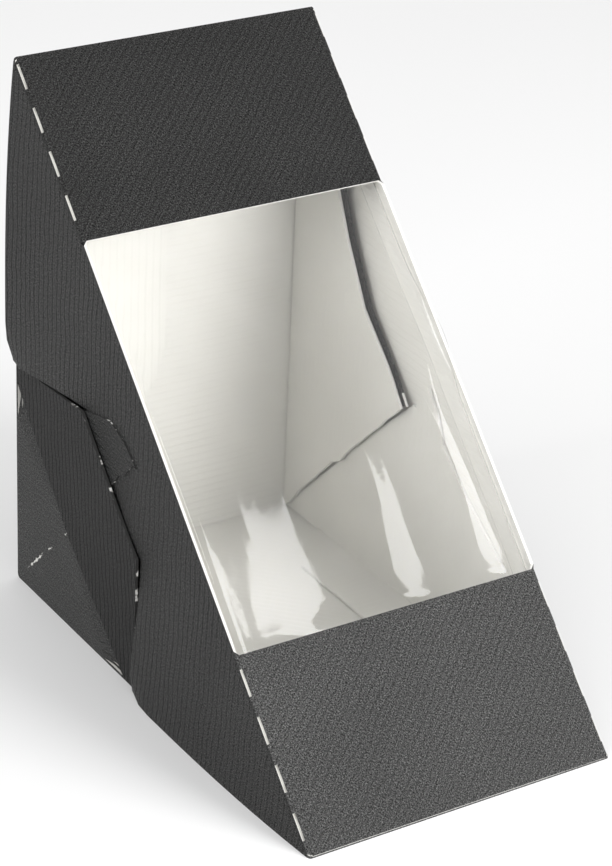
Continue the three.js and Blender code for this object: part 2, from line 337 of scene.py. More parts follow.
def done_editing():
    bpy.ops.object.mode_set(mode="OBJECT")


def edit_whole(operation, **values):
    """Runs one edit mode operation on everything in the active piece."""
    bpy.ops.object.mode_set(mode="EDIT")
    bpy.ops.mesh.select_all(action="SELECT")
    operation(**values)
    done_editing()


def ply(name, corners, outward):
    """One flat face of card through the given corners, looking outward."""
    bpy.ops.object.select_all(action="DESELECT")
    bpy.ops.mesh.primitive_circle_add(vertices=len(corners), fill_type="NGON", calc_uvs=False)
    piece = bpy.context.object
    piece.name = name
    for vertex, corner in zip(piece.data.vertices, corners):
        vertex.co = corner
    piece.data.update()
    if piece.data.polygons[0].normal.dot(Vector(outward)) < 0:
        edit_whole(bpy.ops.mesh.flip_normals)
    return piece


def score(piece, direction, places):
    """Cuts grid lines across a flat piece, at the given distances along a direction."""
    only(piece)
    for place in places:
        edit_whole(bpy.ops.mesh.bisect, plane_co=direction * place, plane_no=direction)


def steps(low, high, step):
    count = max(round((high - low) / step), 1)
    return [low + (high - low) * i / count for i in range(1, count)]


def lay_flutes(piece, across, along):
    """Writes the place across and along the flutes, in centimetres, into the piece's UV map."""
    layer = piece.data.uv_layers.new(name="card")
    for loop in piece.data.loops:
        point = piece.data.vertices[loop.vertex_index].co
        layer.data[loop.index].uv = (point.dot(across) * 100, point.dot(along) * 100)


def bend(piece, side, rise):
    """Moves a flat side ply out to its bowed form."""
    for vertex in piece.data.vertices:
        vertex.co.x = side * (half_width() + rise(*side_place(vertex.co)) * MM)


def join(name, pieces):
    only(pieces[0])
    for piece in pieces[1:]:
        piece.select_set(True)
    bpy.ops.object.join()
    pieces[0].name = name
    return pieces[0]


# The card's flat pieces

UP_SLOPE = Vector((0, 1, 1)).normalized()
OUT_OF_SLOPE = Vector((0, -1, 1)).normalized()
DEEP = Vector((0, 1, 0))
HIGH = Vector((0, 0, 1))
WIDE = Vector((1, 0, 0))


def dash_starts():
    low = [BOTTOM_DASH_START + i * DASH_PITCH for i in range(DASH_COUNT)]
    high = [SLOPE - TOP_DASH_START - DASH_LENGTH - i * DASH_PITCH for i in range(DASH_COUNT)]
    return low + high


def slope_lines():
    """Heights up the slope of all grid lines, so that strips and sides meet corner to corner."""
    spacing = bpy.context.scene.wedge_card.spacing / MM
    ends = [end for start in dash_starts() for end in (start, start + DASH_LENGTH)]
    marks = sorted([0, BOTTOM_STRIP, WINDOW_TOP, SLOPE] + ends)
    lines = []
    for low, high in zip(marks, marks[1:]):
        lines += [low] + steps(low, high, min(spacing, high - low))
    return [(line - SLOPE / 2) * MM for line in lines[1:]]


def along_slope(places):
    """Distances along the slope's direction from the origin, for places up the slope."""
    middle = on_slope(0, SLOPE / 2).dot(UP_SLOPE)
    return [place + middle for place in places]


def strip(name, low, high):
    half = WIDTH / 2
    corners = [on_slope(-half, low), on_slope(half, low), on_slope(half, high), on_slope(-half, high)]
    piece = ply(name, corners, OUT_OF_SLOPE)
    score(piece, UP_SLOPE, along_slope(slope_lines()))
    lay_flutes(piece, (WIDE - UP_SLOPE) / ROOT_TWO, (WIDE + UP_SLOPE) / ROOT_TWO)
    return piece


def flat_wall(name, corners, outward, across, along):
    piece = ply(name, [Vector(c) * MM for c in corners], outward)
    lay_flutes(piece, across, along)
    return piece


def paint_shading(piece, amount):
    """Writes the painted shade that darkens a ply's printed face, or below zero the painted light that
    lightens it.
    """
    layer = piece.data.attributes.new("dark", "FLOAT", "FACE")
    layer.data.foreach_set("value", [amount] * len(piece.data.polygons))
    return piece


def side_ply(name, side, places, rise, upright, outward=1):
    """One layer of a side, cut to its outline, given its grid, its flutes and its bowed form."""
    spacing = bpy.context.scene.wedge_card.spacing
    piece = ply(name, [on_side(side, place) for place in places], (side * outward, 0, 0))
    score(piece, UP_SLOPE, along_slope(slope_lines()))
    depth = on_slope(0, 0).dot(OUT_OF_SLOPE)
    reach = LEG * MM / ROOT_TWO
    score(piece, OUT_OF_SLOPE, [depth - place for place in steps(0, reach, spacing)])
    across, along = (DEEP, HIGH) if upright else (HIGH, DEEP)
    lay_flutes(piece, across, along)
    bend(piece, side, rise)
    return piece


def outer_panel(side):
    slit = [(0, SLIT_EDGE + SLIT_MOUTH), (SLIT_END[0], SLIT_END[1] + SLIT_WIDTH)]
    slit += [tuple(part + 0.1 for part in CHAMFER_END)]
    places = [(0, LEG)] + slit + swapped(reversed(slit)) + [(LEG, 0)]
    return side_ply("outer_panel", side, places, panel_rise, side < 0)


def strap(side):
    cut = [(0, WEB_EDGE), (0, SLIT_EDGE), SLIT_END, CHAMFER_END]
    places = cut + swapped(reversed(cut)) + [(WEB_MIDDLE, WEB_MIDDLE)]
    # The strap gets painted shade, darker than the panel
    return paint_shading(side_ply("strap", side, places, strap_rise, side < 0), STRAP_PAINTED_SHADE)


def web_body(side):
    """The web from the corner to the start of its torn tab, with the crease of its valley."""
    edge = [(0, WEB_EDGE), WEB_SHOULDER]
    root = [(TAB_ROOT, 2 * TEAR_START - TAB_ROOT)]
    places = [(0, 0)] + edge + root + swapped(root) + swapped(reversed(edge))
    # The webs get painted light, lighter than the panel
    return paint_shading(side_ply("web", side, places, web_rise, side > 0), WEB_PAINTED_LIGHT)


def torn_tab(side, layer):
    """Half of the lock tab, past the strap: torn from the other half along the bisector."""
    tip = (TAB_TIP[1] - 0.2, TAB_TIP[1] + 0.2)
    start = (TEAR_START - 0.15, TEAR_START + 0.15)
    jag = [(tip[0] - back, tip[1] - down) for back, down in TEAR_STEPS]
    outline = [(TAB_ROOT, 2 * TEAR_START - TAB_ROOT), CHAMFER_END, TAB_SHOULDER, TAB_BROW, TAB_TIP, tip]
    places = outline + jag + [start]
    places = places if layer > 0 else swapped(places)

    def rise(back, height):
        return tab_rise(back, height, layer)

    return side_ply("tab", side, places, rise, side > 0)


def torn_edge(start, end):
    """Places along a line that was torn from one point of the bisector to another."""
    places = []
    for i in range(1, TEAR_COUNT * 2):
        place = start + (end - start) * i / (TEAR_COUNT * 2)
        off = TEAR_WAVE * noise.noise(Vector((place * 0.45, 3.1, 0)))
        places.append((place - off, place + off))
    return places


def lifted(inset):
    """The rise of a flap that lies a little inside the side panel and lifts at its torn edge."""
    return lambda back, height: -inset - flap_lift(back, height)


def inner_flap(side, inset):
    """The flap folded in over a side from the back wall, down to its torn edge."""
    places = [(FLAP_MARGIN, LEG - FLAP_END_GAP)] + flap_front(0)
    places += torn_edge(SIDE_FLAP_TIP, FLAP_MARGIN) + [(FLAP_MARGIN, FLAP_MARGIN)]
    return side_ply("inner_flap", side, places, lifted(inset), side > 0)


def flap_front(hem):
    """The forward edge of the inner flap, or of the hem that looks out from behind it."""
    upper = [*SIDE_FLAP_BROW, SIDE_FLAP_BEND]
    lower = [SIDE_FLAP_CHIN, (SIDE_FLAP_TIP, SIDE_FLAP_TIP)]
    places = [(back + hem, height + hem / 3) for back, height in upper]
    return places + [(back + hem / 2, height + hem / 2) for back, height in lower]


def flap_hem(side, inset):
    """The black back ply of the flap's turned edge, seen along its forward side only."""
    front = flap_front(HEM_WIDTH)
    rear = [(back - 1, height) for back, height in flap_front(0)]
    places = [(6, LEG - 12)] + front + rear[::-1] + [(2, LEG - 10)]
    return side_ply("hem", side, places, lifted(inset), side > 0, outward=-1)


def flap_lift(back, height):
    """The flap's torn lower edge stands a little off the panel behind it."""
    from_tear = (height - back) / ROOT_TWO
    return TEAR_LIFT * math.exp(-(from_tear / TEAR_LIFT_REACH) ** 2) * clamp(back / 8)


def lower_flap(side, inset):
    """The flap folded in over a side from the floor, up to the torn edge of the other."""
    corner = (SIDE_FLAP_BEND[1] + LOWER_FLAP_EXTRA, SIDE_FLAP_BEND[0] + LOWER_FLAP_EXTRA)
    places = [(FLAP_MARGIN, FLAP_MARGIN), (LOWER_FLAP_TIP, LOWER_FLAP_TIP), LOWER_FLAP_BROW, corner]
    places.append((LEG - FLAP_END_GAP, FLAP_MARGIN))
    board = board_mm()

    def rise(back, height):
        near_edge = clamp((back + height - HUG_START) / HUG_LENGTH)
        return -inset * (1 - near_edge) + (panel_rise(back, height) - board - 0.1) * near_edge

    return side_ply("lower_flap", side, places, rise, side > 0)


def folded_rim(side, rise_at):
    """The fold of a glue flap, as (x, place) in mm: straight by the web, then along the bowed panel."""
    board = board_mm()
    low, high = SLIT_EDGE + 1, LEG - GLUE_FLAP_END_GAP
    bowed = [low + (high - low) * i / FOLD_STEPS for i in range(FOLD_STEPS + 1)]
    straight = [(side * (WIDTH / 2 - board), place) for place in (BACK_FLAP_BOTTOM, WEB_EDGE + 1)]
    return straight + [(side * (WIDTH / 2 + rise_at(place) - board / 2), place) for place in bowed]


def flap_corner():
    """The rounded lower corner of the wide glue flap, outwards from its inner edge."""
    low = BACK_FLAP_CORNER + BACK_FLAP_RADIUS / 2
    start, turn = Vector((0, low)), Vector((0, low - BACK_FLAP_RADIUS))
    end = Vector((BACK_FLAP_RADIUS, low - 2 * BACK_FLAP_RADIUS))
    parts = [i / CURVE_STEPS for i in range(CURVE_STEPS + 1)]
    return [start * (1 - part) ** 2 + turn * 2 * part * (1 - part) + end * part ** 2 for part in parts]


def back_flap(side):
    """The glue flap on the inside of the back wall: wide with a rounded corner, or a seam."""
    wide = side < 0
    inner = side * (BACK_FLAP_EDGE if wide else WIDTH / 2 - BACK_FLAP_SEAM)
    places = folded_rim(side, lambda height: panel_rise(0, height))
    places.append((inner, LEG - GLUE_FLAP_END_GAP))
    if wide:
        places += [(inner + side * point.x, point.y) for point in flap_corner()]
    else:
        places.append((inner, BACK_FLAP_BOTTOM + 1))
    deep = LEG / 2 - board_mm() - FLAP_GAP
    return flat_wall("back_flap", [(x, deep, z) for x, z in places], (0, 1, 0), WIDE, HIGH)


def floor_flap(side):
    """The glue flap of a side on the inside of the floor."""
    board = board_mm()
    inner = side * (WIDTH / 2 - NARROW_FLAP)
    places = folded_rim(side, lambda back: panel_rise(back, 0))
    places += [(inner, LEG - GLUE_FLAP_END_GAP), (inner, BACK_FLAP_BOTTOM + NARROW_FLAP)]
    corners = [(x, LEG / 2 - back, board + 0.02) for x, back in places]
    return flat_wall("floor_flap", corners, (0, 0, -1), DEEP, WIDE)


def loop_pieces():
    """The two strips, the floor and the back wall, which go round the pack as one loop."""
    half = WIDTH / 2
    deep = LEG / 2
    floor = [(-half, -deep, 0), (half, -deep, 0), (half, deep, 0), (-half, deep, 0)]
    back = [(-half, deep, 0), (half, deep, 0), (half, deep, LEG), (-half, deep, LEG)]
    diagonal = (WIDE + DEEP) / ROOT_TWO
    return [
        # The bottom strip gets a painted sheen, lighter than the upper strip
        paint_shading(strip("lower_strip", 0, BOTTOM_STRIP), BOTTOM_STRIP_PAINTED_SHEEN),
        strip("upper_strip", WINDOW_TOP, SLOPE),
        flat_wall("floor", floor, (0, 0, -1), diagonal, (WIDE - DEEP) / ROOT_TWO),
        flat_wall("back", back, (0, 1, 0), HIGH, WIDE),
    ]


def side_pieces(side):
    """All the card layers of one side."""
    board = board_mm()
    inset = board + WEB_VALLEY + 0.05
    pieces = [outer_panel(side), strap(side), web_body(side), torn_tab(side, 1), torn_tab(side, -1)]
    pieces += [inner_flap(side, inset + board), flap_hem(side, inset)]
    return pieces + [lower_flap(side, inset - 0.1), floor_flap(side), back_flap(side)]


def is_crease(mesh, edge):
    """Whether an edge is one of the pack's folds."""
    a, b = (mesh.vertices[i].co for i in edge.vertices)
    tiny = 0.02 * MM
    deep = LEG * MM / 2

    def both(test):
        return test(a) and test(b)

    on_face = both(lambda p: abs(p.dot(OUT_OF_SLOPE) - on_slope(0, 0).dot(OUT_OF_SLOPE)) < tiny)
    at_side = both(lambda p: abs(abs(p.x) - half_width()) < tiny)
    at_back = both(lambda p: abs(p.y - deep) < tiny)
    at_floor = both(lambda p: abs(p.z) < tiny)
    up = ((a + b) / 2 - on_slope(0, 0)).dot(UP_SLOPE) / MM
    in_strip = up < BOTTOM_STRIP or up > WINDOW_TOP
    if on_face and at_side:
        return in_strip and abs((b - a).normalized().dot(UP_SLOPE)) > 0.9
    low = both(lambda p: p.z < (WEB_EDGE + 0.1) * MM)
    near = both(lambda p: p.y > deep - (WEB_EDGE + 0.1) * MM)
    loop_fold = (at_back and at_floor) or (on_face and (at_back or at_floor))
    web_fold = at_side and ((at_back and low) or (at_floor and near))
    return loop_fold or web_fold


def is_dash(point):
    """Whether a point on a side fold lies in one of the cut dashes."""
    up = (point - on_slope(0, 0)).dot(UP_SLOPE) / MM
    return any(start < up < start + DASH_LENGTH for start in dash_starts())


def fold_and_cut(card):
    """Rounds the folds, and opens the cut dashes along the side folds."""
    settings = bpy.context.scene.wedge_card
    only(card)
    choose(card, "edges", lambda edge: is_crease(card.data, edge))
    bpy.ops.mesh.bevel(offset=settings.fold, segments=3, profile=0.5, affect="EDGES")
    done_editing()

    def cut_out(face):
        sideways = abs(face.normal.x)
        turned = 0.55 < sideways < 0.85 and abs(face.normal.dot(OUT_OF_SLOPE)) > 0.4
        return turned and is_dash(face.center)

    choose(card, "polygons", cut_out)
    bpy.ops.mesh.delete(type="FACE")
    done_editing()


def cut_edge_finish(face):
    """The finish of one cut edge: bare, inked by the locks and the glue flap, black in closed folds."""
    wide, deep, high = face.center
    place = side_place(face.center)
    outermost = min(panel_rise(*place), strap_rise(*place))
    inward = half_width() - abs(wide)
    at_side = inward < 1.3 * MM
    folded = abs(face.normal.y) > 0.8 and deep > (LEG / 2 - 0.3) * MM
    folded = folded or (face.normal.z < -0.8 and high < 0.3 * MM)
    at_fold = deep > (LEG / 2 - 1) * MM or high < 1 * MM
    folded = folded or (at_fold and abs(face.normal.x) > 0.8)
    if at_side and folded:
        return BLACK
    at_lock = sum(place) < LOCK_REACH and (wide < 0 or -inward > (outermost - 0.6) * MM)
    at_glue_flap = abs(wide) < 12 * MM and deep > (LEG / 2 - 1.5) * MM
    if (at_side and at_lock) or at_glue_flap:
        return INKED
    if HEM_DEPTHS[0] * MM < inward < HEM_DEPTHS[1] * MM and high > SIDE_FLAP_TIP * MM:
        return BLACK
    return EDGE


def thicken(card):
    """Gives the folded sheet its thickness, white inside, and finishes its cut edges."""
    only(card)
    wall = card.modifiers.new("board", "SOLIDIFY")
    wall.thickness = bpy.context.scene.wedge_card.board
    wall.offset = -1
    wall.use_even_offset = False
    wall.material_offset = WHITE
    wall.material_offset_rim = EDGE
    bpy.ops.object.modifier_apply(modifier=wall.name)
    mesh = card.data
    low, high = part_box("carton")
    for vertex in mesh.vertices:
        vertex.co = [clamp(*each) for each in zip(vertex.co, low, high)]
    for face in mesh.polygons:
        if face.material_index == EDGE:
            face.material_index = cut_edge_finish(face)


def finish_piece(piece, body, nodes, angle=35):
    only(piece)
    bpy.ops.object.shade_smooth_by_angle(angle=math.radians(angle))
    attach(piece, body)
    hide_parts(*nodes)


# Materials

RUBBED_INK = (0.08, 0.08, 0.078, 1)
BARE_FIBRE = (0.7, 0.69, 0.66, 1)


def shader_nodes(name):
    material = bpy.data.materials.new(name)
    material.use_nodes = True
    tree = material.node_tree
    return material, tree, tree.nodes["Principled BSDF"]


def add(tree, kind, **values):
    node = tree.nodes.new(kind)
    for key, value in values.items():
        setattr(node, key, value)
    return node


def feed(node, **values):
    for key, value in values.items():
        node.inputs[key.replace("_", " ")].default_value = value


def math_node(tree, operation, first, second=None, third=None):
    node = add(tree, "ShaderNodeMath", operation=operation)
    for index, value in enumerate((first, second, third)):
        if value is None:
            continue
        if isinstance(value, (int, float)):
            node.inputs[index].default_value = value
        else:
            tree.links.new(value, node.inputs[index])
    return node.outputs[0]


def noise_node(tree, vector, scale, detail=2.0, roughness=0.5):
    node = add(tree, "ShaderNodeTexNoise")
    feed(node, Scale=scale, Detail=detail, Roughness=roughness)
    tree.links.new(vector, node.inputs["Vector"])
    return node.outputs["Fac"]


def own_place(tree):
    """The place on the object, in metres."""
    return add(tree, "ShaderNodeTexCoord").outputs["Object"]


def split_node(tree, vector):
    node = add(tree, "ShaderNodeSeparateXYZ")
    tree.links.new(vector, node.inputs[0])
    return node.outputs


def mix_node(tree, factor, first, second, blend="MIX"):
    """Mixes two colours by a factor that is a number or comes from another node."""
    node = add(tree, "ShaderNodeMix", data_type="RGBA", blend_type=blend)
    for socket, value in (("Factor", factor), (6, first), (7, second)):
        if isinstance(value, bpy.types.NodeSocket):
            tree.links.new(value, node.inputs[socket])
        else:
            node.inputs[socket].default_value = value
    return node.outputs[2]


def relief_node(tree, shader, height, strength, depth):
    """Gives a material its fine relief; the depth is in metres."""
    bump = add(tree, "ShaderNodeBump")
    feed(bump, Strength=strength, Distance=depth)
    tree.links.new(height, bump.inputs["Height"])
    tree.links.new(bump.outputs["Normal"], shader.inputs["Normal"])


def flute_group():
    """Micro-flute relief and paper grain, from places across and along the flutes in centimetres."""
    group = bpy.data.node_groups.new("Card flutes", "ShaderNodeTree")
    for name in ("Pitch", "Wobble"):
        group.interface.new_socket(name=name, in_out="INPUT", socket_type="NodeSocketFloat")
    for name in ("Relief", "Speckle", "Grain"):
        group.interface.new_socket(name=name, in_out="OUTPUT", socket_type="NodeSocketFloat")
    inputs = group.nodes.new("NodeGroupInput")
    outputs = group.nodes.new("NodeGroupOutput")
    place = add(group, "ShaderNodeUVMap", uv_map="card").outputs["UV"]
    across, along, _ = split_node(group, place)
    sway = noise_node(group, place, 1.1)
    shift = math_node(group, "MULTIPLY", math_node(group, "SUBTRACT", sway, 0.5), inputs.outputs["Wobble"])
    turns = math_node(group, "DIVIDE", math_node(group, "ADD", across, shift), inputs.outputs["Pitch"])
    phase = math_node(group, "MULTIPLY", turns, 2 * math.pi)
    double = math_node(group, "SINE", math_node(group, "MULTIPLY", phase, 2))
    wave = math_node(group, "MULTIPLY_ADD", double, 0.55, math_node(group, "SINE", phase))
    stretch = add(group, "ShaderNodeCombineXYZ")
    group.links.new(math_node(group, "MULTIPLY", across, 34), stretch.inputs[0])
    group.links.new(math_node(group, "MULTIPLY", along, 27), stretch.inputs[1])
    fine = noise_node(group, stretch.outputs[0], 1.0, 3, 0.7)
    grain = noise_node(group, place, 42, 4, 0.75)
    relief = math_node(group, "MULTIPLY_ADD", math_node(group, "SUBTRACT", fine, 0.5), 2.6, wave)
    speckle = math_node(group, "MULTIPLY", fine, grain)
    for name, value in (("Relief", relief), ("Speckle", speckle), ("Grain", grain)):
        group.links.new(value, outputs.inputs[name])
    return group


def ramp(tree, fac, stops):
    """A colour ramp from (place, grey or colour) stops."""
    node = add(tree, "ShaderNodeValToRGB")
    elements = node.color_ramp.elements
    while len(elements) < len(stops):
        elements.new(0.5)
    for element, (place, colour) in zip(elements, stops):
        element.position = place
        element.color = (*colour, 1) if isinstance(colour, tuple) else (colour, colour, colour, 1)
    tree.links.new(fac, node.inputs["Fac"])
    return node.outputs["Color"]


def scaled(colour, factor):
    return tuple(min(part * factor, 1) for part in colour)


def torn_line_mask(tree, place):
    """Where bare fibres show along the perforated line that halves the corner webs."""
    wide, deep, high = split_node(tree, place)
    back = math_node(tree, "SUBTRACT", LEG / 2 * MM, deep)
    fray = math_node(tree, "SUBTRACT", noise_node(tree, place, 700, 3, 0.7), 0.5)
    off = math_node(tree, "ABSOLUTE", math_node(tree, "SUBTRACT", back, high))
    frayed = math_node(tree, "MULTIPLY_ADD", fray, 2.2 * MM, off)
    near = math_node(tree, "LESS_THAN", frayed, 0.34 * MM)
    total = math_node(tree, "ADD", back, high)
    first = math_node(tree, "GREATER_THAN", total, 7.5 * MM)
    last = math_node(tree, "LESS_THAN", total, 2 * WEB_MIDDLE * MM)
    at_side = math_node(tree, "GREATER_THAN", math_node(tree, "ABSOLUTE", wide), (WIDTH / 2 - 2.5) * MM)
    broken = math_node(tree, "GREATER_THAN", noise_node(tree, place, 260, 2), 0.49)
    mask = math_node(tree, "MULTIPLY", near, broken)
    for part in (first, last, at_side):
        mask = math_node(tree, "MULTIPLY", mask, part)
    return mask


def black_card_material(group, colour, pitch):
    """Matt black printed outside: fluted, finely speckled, a little worn along its folds, with painted
    shade and painted light per ply.
    """
    material, tree, shader = shader_nodes("Black fluted card")
    flutes = add(tree, "ShaderNodeGroup", node_tree=group)
    feed(flutes, Pitch=pitch * 100, Wobble=0.22)
    geometry = add(tree, "ShaderNodeNewGeometry")
    place = own_place(tree)
    speckled = ramp(tree, flutes.outputs["Speckle"], [
        (0.15, scaled(colour, 0.1)), (0.22, colour), (0.27, scaled(colour, 3)), (0.36, scaled(colour, 12))])
    tint = ramp(tree, noise_node(tree, place, 38, 3), [(0.3, 0.82), (0.7, 1.15)])
    toned = mix_node(tree, 1, speckled, tint, "MULTIPLY")
    worn = ramp(tree, geometry.outputs["Pointiness"], [(0.55, 0.0), (0.7, 0.12)])
    wear = math_node(tree, "MULTIPLY", worn, flutes.outputs["Grain"])
    rubbed = mix_node(tree, wear, toned, RUBBED_INK)
    # Painted shade and painted light from each ply scale its colour and its specular level
    dark = add(tree, "ShaderNodeAttribute", attribute_name="dark").outputs["Fac"]
    level = math_node(tree, "MULTIPLY_ADD", dark, -0.42, 1.0)
    shaded = add(tree, "ShaderNodeVectorMath", operation="SCALE")
    tree.links.new(rubbed, shaded.inputs[0])
    tree.links.new(level, shaded.inputs["Scale"])
    torn = mix_node(tree, torn_line_mask(tree, place), shaded.outputs[0], BARE_FIBRE)
    tree.links.new(torn, shader.inputs["Base Color"])
    rough = ramp(tree, flutes.outputs["Grain"], [(0.3, 0.46), (0.7, 0.66)])
    tree.links.new(rough, shader.inputs["Roughness"])
    relief_node(tree, shader, flutes.outputs["Relief"], 0.85, 0.24 * MM)
    sparkle = ramp(tree, flutes.outputs["Speckle"], [(0.16, 0.06), (0.24, 0.3), (0.36, 0.85)])
    tree.links.new(math_node(tree, "MULTIPLY", sparkle, level), shader.inputs["Specular IOR Level"])
    return material


def paper_material(name, group, colour, relief, pitch):
    """Bare white paper: the inside face, or a cut edge."""
    material, tree, shader = shader_nodes(name)
    flutes = add(tree, "ShaderNodeGroup", node_tree=group)
    feed(flutes, Pitch=pitch * 100, Wobble=0.05)
    place = own_place(tree)
    tone = ramp(tree, noise_node(tree, place, 22, 4), [(0.3, scaled(colour, 0.94)), (0.7, colour)])
    tree.links.new(tone, shader.inputs["Base Color"])
    rough = ramp(tree, flutes.outputs["Grain"], [(0.3, 0.55), (0.7, 0.8)])
    tree.links.new(rough, shader.inputs["Roughness"])
    relief_node(tree, shader, flutes.outputs["Relief"], relief, 0.05 * MM)
    shader.inputs["Specular IOR Level"].default_value = 0.3
    return material


def inked_edge_material(colour, bare):
    """A cut edge that took ink and rubbing, with bare paper showing in a few nicks."""
    material, tree, shader = shader_nodes("Inked cut edge")
    place = own_place(tree)
    nick = noise_node(tree, place, 420, 2, 0.6)
    tone = ramp(tree, nick, [(0.5, scaled(colour, 3.6)), (0.6, scaled(colour, 5)), (0.66, bare)])
    tree.links.new(tone, shader.inputs["Base Color"])
    rough = ramp(tree, noise_node(tree, place, 900), [(0.3, 0.6), (0.7, 0.85)])
    tree.links.new(rough, shader.inputs["Roughness"])
    return material


def film_material():
    """Clear film: sharp gloss, faint haze in its creases, and open to light from the lamps."""
    material, tree, shader = shader_nodes("Clear window film")
    place = own_place(tree)
    haze = noise_node(tree, place, 160, 3)
    rough = ramp(tree, haze, [(0.35, 0.02), (0.75, 0.07)])
    tree.links.new(rough, shader.inputs["Roughness"])
    tint = ramp(tree, haze, [(0.3, (0.985, 0.985, 0.98)), (0.7, (1.0, 1.0, 1.0))])
    tree.links.new(tint, shader.inputs["Base Color"])
    shader.inputs["Transmission Weight"].default_value = 1
    shader.inputs["IOR"].default_value = 1.5
    rays = add(tree, "ShaderNodeLightPath")
    shadow = math_node(tree, "MULTIPLY", rays.outputs["Is Shadow Ray"], 0.94)
    tree.links.new(math_node(tree, "SUBTRACT", 1.0, shadow), shader.inputs["Alpha"])
    relief_node(tree, shader, noise_node(tree, place, 900, 2), 0.06, 0.04 * MM)
    return material


# The film's form

# Where the film climbs towards +X: middle, half width and climb in mm, and drift up the film
FILM_CLIMBS = (
    (-19.0, 6.8, 1.15, 4.0),
    (9.0, 3.6, 0.88, 0.5),
    (29.5, 3.2, 1.0, -4.0),
)


def film_waves(x, up):
    """The film's long soft creases, as a height in mm: short climbs, and slow falls between them."""
    part = clamp((up - BOTTOM_STRIP) / (WINDOW_TOP - BOTTOM_STRIP))
    sway = 1.6 * noise.noise(Vector((up * 0.03, 0.3, 0)))
    height = 0.0
    total = 0.0
    for middle, half, climb, drift in FILM_CLIMBS:
        along = (x - middle - drift * part - sway) / half
        height += climb * (0.5 + 0.5 * math.tanh(along))
        total += climb
    height -= total * (x + WIDTH / 2) / WIDTH
    fade = 1 - part ** 2 * 0.75
    height = height * fade + 0.05 * noise.noise(Vector((x * 0.07, up * 0.02, 1.7)))
    height += 0.014 * noise.noise(Vector((x * 0.4, up * 0.1, 4.2)))
    peel = hump((x, up), PEEL_MIDDLE, PEEL_REACH)
    height += 0.03 * peel * noise.noise(Vector((x * 1.3, up * 1.3, 7)))
    height += 0.6 * hump((x, up), SWELL_MIDDLE, SWELL_REACH)
    inside = clamp(min(up - BOTTOM_STRIP, WINDOW_TOP - up) / 1.5)
    return height * inside


def film_out(x, up):
    """How far the film stands out from the card's outer face, in mm: most a third of the way up."""
    film = bpy.context.scene.wedge_film
    part = clamp((up - BOTTOM_STRIP) / (WINDOW_TOP - BOTTOM_STRIP))
    flatness = 1 - (x / (WIDTH / 2)) ** 4
    rise = 27 / 4 * part * (1 - part) ** 2
    bow = film.bow / MM * rise * (0.6 + 0.4 * flatness)
    return bow + film_waves(x, up) - board_mm() - FILM_CARD_GAP


def film_overhang(side, up, drop):
    """The film swells over the right-hand edge in one place."""
    swell = math.exp(-((up - SWELL_MIDDLE[1]) / 9) ** 2) if side > 0 else 0.0
    return 2.3 * swell * math.exp(-((drop - 0.7) / 0.8) ** 2)


def film_half_width():
    return half_width() / MM - board_mm() - FILM_SIDE_GAP


def film_place(across, up):
    """A place on the film, from the distances across and up it: flat, round the bend, or down inside."""
    film = bpy.context.scene.wedge_film
    half = film_half_width()
    radius = film.bend / MM
    side = math.copysign(1, across)
    over = abs(across) - (half - radius)
    if over <= 0:
        return on_slope(across, up, film_out(across, up))
    angle = min(over / radius, math.pi / 2)
    x = side * (half - radius + radius * math.sin(angle))
    drop = radius * (1 - math.cos(angle)) + max(over - radius * math.pi / 2, 0)
    x += film_overhang(side, up, drop)
    return on_slope(x, up, film_out(x, up) - drop)


def build_film():
    film = bpy.context.scene.wedge_film
    radius = film.bend / MM
    span = film_half_width() - radius + radius * math.pi / 2 + film.margin / MM
    low = BOTTOM_STRIP - film.overlap / MM
    high = WINDOW_TOP + film.overlap / MM
    bpy.ops.object.select_all(action="DESELECT")
    bpy.ops.mesh.primitive_grid_add(x_subdivisions=film.columns, y_subdivisions=film.rows, size=2)
    piece = bpy.context.object
    piece.name = "clear_window_film"
    for vertex in piece.data.vertices:
        up = low + (vertex.co.y + 1) / 2 * (high - low)
        vertex.co = film_place(vertex.co.x * span, up)
    piece.data.update()
    edit_whole(bpy.ops.mesh.normals_make_consistent, inside=False)
    middle = piece.data.polygons[len(piece.data.polygons) // 2]
    if middle.normal.dot(OUT_OF_SLOPE) < 0:
        edit_whole(bpy.ops.mesh.flip_normals)
    wall = piece.modifiers.new("film", "SOLIDIFY")
    wall.thickness = film.thickness
    wall.offset = -1
    bpy.ops.object.modifier_apply(modifier=wall.name)
    return piece


# Lamps and camera

def area_light(name, place, aim, size, power):
    data = bpy.data.lights.new(name, "AREA")
    data.shape = "RECTANGLE"
    data.size, data.size_y = size
    data.energy = power
    lamp = bpy.data.objects.new(name, data)
    lamp.location = place
    lamp.rotation_euler = (Vector(aim) - Vector(place)).to_track_quat("-Z", "Y").to_euler()
    bpy.context.scene.collection.objects.link(lamp)


def place_lamps(key):
    """The small lamp that the film mirrors, one for the bottom strip, and a broad one on the left."""
    window = Vector((-0.01, -0.02, 0.045))
    strip = Vector((0.0, -0.045, 0.015))
    toward = Vector((0.36, -0.635, 0.745)).normalized()
    sheen = Vector((0.42, -0.76, 0.42)).normalized()
    area_light("window_light", window + toward * 1.3, window, (0.34, 0.21), key * 0.95)
    area_light("sheen_light", strip + sheen * 0.55, strip, (0.28, 0.14), key * 2.1)
    area_light("left_light", (-1.2, -0.15, 0.55), window, (0.7, 0.7), key * 8)


def place_camera(scene):
    data = bpy.data.cameras.new("camera")
    data.sensor_fit = "VERTICAL"
    data.sensor_height = SENSOR
    data.lens = LENS
    camera = bpy.data.objects.new("camera", data)
    camera.location = Vector(CAMERA_PLACE) * MM
    camera.rotation_euler = Euler([math.radians(turn) for turn in CAMERA_TURN], "XYZ")
    scene.collection.objects.link(camera)
    scene.camera = camera


# Operators

